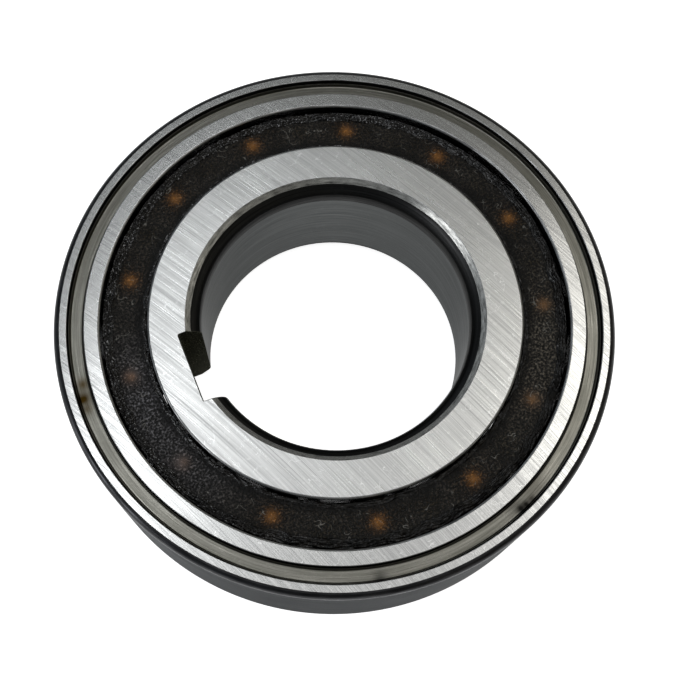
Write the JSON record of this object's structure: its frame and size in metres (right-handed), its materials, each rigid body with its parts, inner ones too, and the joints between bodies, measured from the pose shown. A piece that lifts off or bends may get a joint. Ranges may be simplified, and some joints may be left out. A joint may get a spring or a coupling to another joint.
{
  "type": "sprag clutch",
  "caption": "One-way sprag clutch built into a ball bearing: keyed inner ring, plain outer ring, caged balls and caged sprags between them.",
  "frame": {"origin": "on the bore axis, in the plane of the back faces of both rings", "axes": "+Z along the bore axis, out of the front face, where the ball cage shows; the keyway faces -X"},
  "size_m": [0.062, 0.062, 0.016],
  "materials": {
    "ground_steel": "ground bearing steel, oiled",
    "ball_steel": "polished bearing steel",
    "sprag_steel": "hardened and tumbled steel",
    "cage_plastic": "dark brown glass-filled nylon, greased",
    "spring_steel": "drawn spring wire"
  },
  "bodies": {
    "outer_race": {"outer_ring": "ground_steel"},
    "inner_race": {"inner_ring": "ground_steel"},
    "ball_cage": {"ball_cage": "cage_plastic"},
    "ball_01": {"ball_01": "ball_steel"},
    "ball_02": {"ball_02": "ball_steel"},
    "ball_03": {"ball_03": "ball_steel"},
    "ball_04": {"ball_04": "ball_steel"},
    "ball_05": {"ball_05": "ball_steel"},
    "ball_06": {"ball_06": "ball_steel"},
    "ball_07": {"ball_07": "ball_steel"},
    "ball_08": {"ball_08": "ball_steel"},
    "ball_09": {"ball_09": "ball_steel"},
    "ball_10": {"ball_10": "ball_steel"},
    "ball_11": {"ball_11": "ball_steel"},
    "ball_12": {"ball_12": "ball_steel"},
    "ball_13": {"ball_13": "ball_steel"},
    "sprag_cage": {"sprag_cage": "cage_plastic", "garter_spring": "spring_steel"},
    "sprag_01": {"sprag_01": "sprag_steel"},
    "sprag_02": {"sprag_02": "sprag_steel"},
    "sprag_03": {"sprag_03": "sprag_steel"},
    "sprag_04": {"sprag_04": "sprag_steel"},
    "sprag_05": {"sprag_05": "sprag_steel"},
    "sprag_06": {"sprag_06": "sprag_steel"},
    "sprag_07": {"sprag_07": "sprag_steel"},
    "sprag_08": {"sprag_08": "sprag_steel"},
    "sprag_09": {"sprag_09": "sprag_steel"},
    "sprag_10": {"sprag_10": "sprag_steel"},
    "sprag_11": {"sprag_11": "sprag_steel"},
    "sprag_12": {"sprag_12": "sprag_steel"},
    "sprag_13": {"sprag_13": "sprag_steel"},
    "sprag_14": {"sprag_14": "sprag_steel"},
    "sprag_15": {"sprag_15": "sprag_steel"},
    "sprag_16": {"sprag_16": "sprag_steel"},
    "sprag_17": {"sprag_17": "sprag_steel"},
    "sprag_18": {"sprag_18": "sprag_steel"},
    "sprag_19": {"sprag_19": "sprag_steel"},
    "sprag_20": {"sprag_20": "sprag_steel"},
    "sprag_21": {"sprag_21": "sprag_steel"},
    "sprag_22": {"sprag_22": "sprag_steel"},
    "sprag_23": {"sprag_23": "sprag_steel"},
    "sprag_24": {"sprag_24": "sprag_steel"}
  },
  "joints": [
    {"name": "inner_ring_freewheel", "type": "hinge", "parent": "outer_race", "child": "inner_race", "pos_m": [0, 0, 0.008], "axis": [0, 0, 1], "range_deg": [0, 360]},
    {"name": "ball_cage_turn", "type": "hinge", "parent": "outer_race", "child": "ball_cage", "pos_m": [0, 0, 0.0111], "axis": [0, 0, 1], "range_deg": [0, 155.7]},
    {"name": "ball_01_roll", "type": "hinge", "parent": "ball_cage", "child": "ball_01", "pos_m": [0.02306, 0.00376, 0.0111], "axis": [0, 0, 1], "range_deg": [-1302, 0]},
    {"name": "ball_02_roll", "type": "hinge", "parent": "ball_cage", "child": "ball_02", "pos_m": [0.01867, 0.01404, 0.0111], "axis": [0, 0, 1], "range_deg": [-1302, 0]},
    {"name": "ball_03_roll", "type": "hinge", "parent": "ball_cage", "child": "ball_03", "pos_m": [0.01001, 0.02111, 0.0111], "axis": [0, 0, 1], "range_deg": [-1302, 0]},
    {"name": "ball_04_roll", "type": "hinge", "parent": "ball_cage", "child": "ball_04", "pos_m": [-0.00095, 0.02335, 0.0111], "axis": [0, 0, 1], "range_deg": [-1302, 0]},
    {"name": "ball_05_roll", "type": "hinge", "parent": "ball_cage", "child": "ball_05", "pos_m": [-0.01169, 0.02023, 0.0111], "axis": [0, 0, 1], "range_deg": [-1302, 0]},
    {"name": "ball_06_roll", "type": "hinge", "parent": "ball_cage", "child": "ball_06", "pos_m": [-0.01975, 0.01248, 0.0111], "axis": [0, 0, 1], "range_deg": [-1302, 0]},
    {"name": "ball_07_roll", "type": "hinge", "parent": "ball_cage", "child": "ball_07", "pos_m": [-0.02329, 0.00187, 0.0111], "axis": [0, 0, 1], "range_deg": [-1302, 0]},
    {"name": "ball_08_roll", "type": "hinge", "parent": "ball_cage", "child": "ball_08", "pos_m": [-0.02149, -0.00917, 0.0111], "axis": [0, 0, 1], "range_deg": [-1302, 0]},
    {"name": "ball_09_roll", "type": "hinge", "parent": "ball_cage", "child": "ball_09", "pos_m": [-0.01477, -0.0181, 0.0111], "axis": [0, 0, 1], "range_deg": [-1302, 0]},
    {"name": "ball_10_roll", "type": "hinge", "parent": "ball_cage", "child": "ball_10", "pos_m": [-0.00467, -0.02289, 0.0111], "axis": [0, 0, 1], "range_deg": [-1302, 0]},
    {"name": "ball_11_roll", "type": "hinge", "parent": "ball_cage", "child": "ball_11", "pos_m": [0.00651, -0.02244, 0.0111], "axis": [0, 0, 1], "range_deg": [-1302, 0]},
    {"name": "ball_12_roll", "type": "hinge", "parent": "ball_cage", "child": "ball_12", "pos_m": [0.01619, -0.01685, 0.0111], "axis": [0, 0, 1], "range_deg": [-1302, 0]},
    {"name": "ball_13_roll", "type": "hinge", "parent": "ball_cage", "child": "ball_13", "pos_m": [0.02217, -0.00739, 0.0111], "axis": [0, 0, 1], "range_deg": [-1302, 0]},
    {"name": "sprag_cage_creep", "type": "hinge", "parent": "outer_race", "child": "sprag_cage", "pos_m": [0, 0, 0.00448], "axis": [0, 0, 1], "continuous": true},
    {"name": "sprag_01_lean", "type": "hinge", "parent": "sprag_cage", "child": "sprag_01", "pos_m": [0.02337, 0, 0.00448], "axis": [0, 0, -1], "range_deg": [0, 4], "stiffness_Nm_per_rad": 0.0005, "springref_deg": -4.01},
    {"name": "sprag_02_lean", "type": "hinge", "parent": "sprag_cage", "child": "sprag_02", "pos_m": [0.02257, 0.00605, 0.00448], "axis": [0, 0, -1], "range_deg": [0, 4]},
    {"name": "sprag_03_lean", "type": "hinge", "parent": "sprag_cage", "child": "sprag_03", "pos_m": [0.02023, 0.01168, 0.00448], "axis": [0, 0, -1], "range_deg": [0, 4]},
    {"name": "sprag_04_lean", "type": "hinge", "parent": "sprag_cage", "child": "sprag_04", "pos_m": [0.01652, 0.01652, 0.00448], "axis": [0, 0, -1], "range_deg": [0, 4]},
    {"name": "sprag_05_lean", "type": "hinge", "parent": "sprag_cage", "child": "sprag_05", "pos_m": [0.01168, 0.02023, 0.00448], "axis": [0, 0, -1], "range_deg": [0, 4]},
    {"name": "sprag_06_lean", "type": "hinge", "parent": "sprag_cage", "child": "sprag_06", "pos_m": [0.00605, 0.02257, 0.00448], "axis": [0, 0, -1], "range_deg": [0, 4]},
    {"name": "sprag_07_lean", "type": "hinge", "parent": "sprag_cage", "child": "sprag_07", "pos_m": [0, 0.02337, 0.00448], "axis": [0, 0, -1], "range_deg": [0, 4]},
    {"name": "sprag_08_lean", "type": "hinge", "parent": "sprag_cage", "child": "sprag_08", "pos_m": [-0.00605, 0.02257, 0.00448], "axis": [0, 0, -1], "range_deg": [0, 4]},
    {"name": "sprag_09_lean", "type": "hinge", "parent": "sprag_cage", "child": "sprag_09", "pos_m": [-0.01168, 0.02023, 0.00448], "axis": [0, 0, -1], "range_deg": [0, 4]},
    {"name": "sprag_10_lean", "type": "hinge", "parent": "sprag_cage", "child": "sprag_10", "pos_m": [-0.01652, 0.01652, 0.00448], "axis": [0, 0, -1], "range_deg": [0, 4]},
    {"name": "sprag_11_lean", "type": "hinge", "parent": "sprag_cage", "child": "sprag_11", "pos_m": [-0.02023, 0.01168, 0.00448], "axis": [0, 0, -1], "range_deg": [0, 4]},
    {"name": "sprag_12_lean", "type": "hinge", "parent": "sprag_cage", "child": "sprag_12", "pos_m": [-0.02257, 0.00605, 0.00448], "axis": [0, 0, -1], "range_deg": [0, 4]},
    {"name": "sprag_13_lean", "type": "hinge", "parent": "sprag_cage", "child": "sprag_13", "pos_m": [-0.02337, 0, 0.00448], "axis": [0, 0, -1], "range_deg": [0, 4]},
    {"name": "sprag_14_lean", "type": "hinge", "parent": "sprag_cage", "child": "sprag_14", "pos_m": [-0.02257, -0.00605, 0.00448], "axis": [0, 0, -1], "range_deg": [0, 4]},
    {"name": "sprag_15_lean", "type": "hinge", "parent": "sprag_cage", "child": "sprag_15", "pos_m": [-0.02023, -0.01168, 0.00448], "axis": [0, 0, -1], "range_deg": [0, 4]},
    {"name": "sprag_16_lean", "type": "hinge", "parent": "sprag_cage", "child": "sprag_16", "pos_m": [-0.01652, -0.01652, 0.00448], "axis": [0, 0, -1], "range_deg": [0, 4]},
    {"name": "sprag_17_lean", "type": "hinge", "parent": "sprag_cage", "child": "sprag_17", "pos_m": [-0.01168, -0.02023, 0.00448], "axis": [0, 0, -1], "range_deg": [0, 4]},
    {"name": "sprag_18_lean", "type": "hinge", "parent": "sprag_cage", "child": "sprag_18", "pos_m": [-0.00605, -0.02257, 0.00448], "axis": [0, 0, -1], "range_deg": [0, 4]},
    {"name": "sprag_19_lean", "type": "hinge", "parent": "sprag_cage", "child": "sprag_19", "pos_m": [0, -0.02337, 0.00448], "axis": [0, 0, -1], "range_deg": [0, 4]},
    {"name": "sprag_20_lean", "type": "hinge", "parent": "sprag_cage", "child": "sprag_20", "pos_m": [0.00605, -0.02257, 0.00448], "axis": [0, 0, -1], "range_deg": [0, 4]},
    {"name": "sprag_21_lean", "type": "hinge", "parent": "sprag_cage", "child": "sprag_21", "pos_m": [0.01168, -0.02023, 0.00448], "axis": [0, 0, -1], "range_deg": [0, 4]},
    {"name": "sprag_22_lean", "type": "hinge", "parent": "sprag_cage", "child": "sprag_22", "pos_m": [0.01652, -0.01652, 0.00448], "axis": [0, 0, -1], "range_deg": [0, 4]},
    {"name": "sprag_23_lean", "type": "hinge", "parent": "sprag_cage", "child": "sprag_23", "pos_m": [0.02023, -0.01168, 0.00448], "axis": [0, 0, -1], "range_deg": [0, 4]},
    {"name": "sprag_24_lean", "type": "hinge", "parent": "sprag_cage", "child": "sprag_24", "pos_m": [0.02257, -0.00605, 0.00448], "axis": [0, 0, -1], "range_deg": [0, 4]}
  ],
  "couplings": [
    {"joint": "ball_cage_turn", "follows": "inner_ring_freewheel", "ratio": 0.43206},
    {"joint": "ball_01_roll", "follows": "inner_ring_freewheel", "ratio": -3.6116},
    {"joint": "ball_02_roll", "follows": "inner_ring_freewheel", "ratio": -3.6116},
    {"joint": "ball_03_roll", "follows": "inner_ring_freewheel", "ratio": -3.6116},
    {"joint": "ball_04_roll", "follows": "inner_ring_freewheel", "ratio": -3.6116},
    {"joint": "ball_05_roll", "follows": "inner_ring_freewheel", "ratio": -3.6116},
    {"joint": "ball_06_roll", "follows": "inner_ring_freewheel", "ratio": -3.6116},
    {"joint": "ball_07_roll", "follows": "inner_ring_freewheel", "ratio": -3.6116},
    {"joint": "ball_08_roll", "follows": "inner_ring_freewheel", "ratio": -3.6116},
    {"joint": "ball_09_roll", "follows": "inner_ring_freewheel", "ratio": -3.6116},
    {"joint": "ball_10_roll", "follows": "inner_ring_freewheel", "ratio": -3.6116},
    {"joint": "ball_11_roll", "follows": "inner_ring_freewheel", "ratio": -3.6116},
    {"joint": "ball_12_roll", "follows": "inner_ring_freewheel", "ratio": -3.6116},
    {"joint": "ball_13_roll", "follows": "inner_ring_freewheel", "ratio": -3.6116},
    {"joint": "sprag_02_lean", "follows": "sprag_01_lean", "ratio": 1},
    {"joint": "sprag_03_lean", "follows": "sprag_01_lean", "ratio": 1},
    {"joint": "sprag_04_lean", "follows": "sprag_01_lean", "ratio": 1},
    {"joint": "sprag_05_lean", "follows": "sprag_01_lean", "ratio": 1},
    {"joint": "sprag_06_lean", "follows": "sprag_01_lean", "ratio": 1},
    {"joint": "sprag_07_lean", "follows": "sprag_01_lean", "ratio": 1},
    {"joint": "sprag_08_lean", "follows": "sprag_01_lean", "ratio": 1},
    {"joint": "sprag_09_lean", "follows": "sprag_01_lean", "ratio": 1},
    {"joint": "sprag_10_lean", "follows": "sprag_01_lean", "ratio": 1},
    {"joint": "sprag_11_lean", "follows": "sprag_01_lean", "ratio": 1},
    {"joint": "sprag_12_lean", "follows": "sprag_01_lean", "ratio": 1},
    {"joint": "sprag_13_lean", "follows": "sprag_01_lean", "ratio": 1},
    {"joint": "sprag_14_lean", "follows": "sprag_01_lean", "ratio": 1},
    {"joint": "sprag_15_lean", "follows": "sprag_01_lean", "ratio": 1},
    {"joint": "sprag_16_lean", "follows": "sprag_01_lean", "ratio": 1},
    {"joint": "sprag_17_lean", "follows": "sprag_01_lean", "ratio": 1},
    {"joint": "sprag_18_lean", "follows": "sprag_01_lean", "ratio": 1},
    {"joint": "sprag_19_lean", "follows": "sprag_01_lean", "ratio": 1},
    {"joint": "sprag_20_lean", "follows": "sprag_01_lean", "ratio": 1},
    {"joint": "sprag_21_lean", "follows": "sprag_01_lean", "ratio": 1},
    {"joint": "sprag_22_lean", "follows": "sprag_01_lean", "ratio": 1},
    {"joint": "sprag_23_lean", "follows": "sprag_01_lean", "ratio": 1},
    {"joint": "sprag_24_lean", "follows": "sprag_01_lean", "ratio": 1}
  ]
}
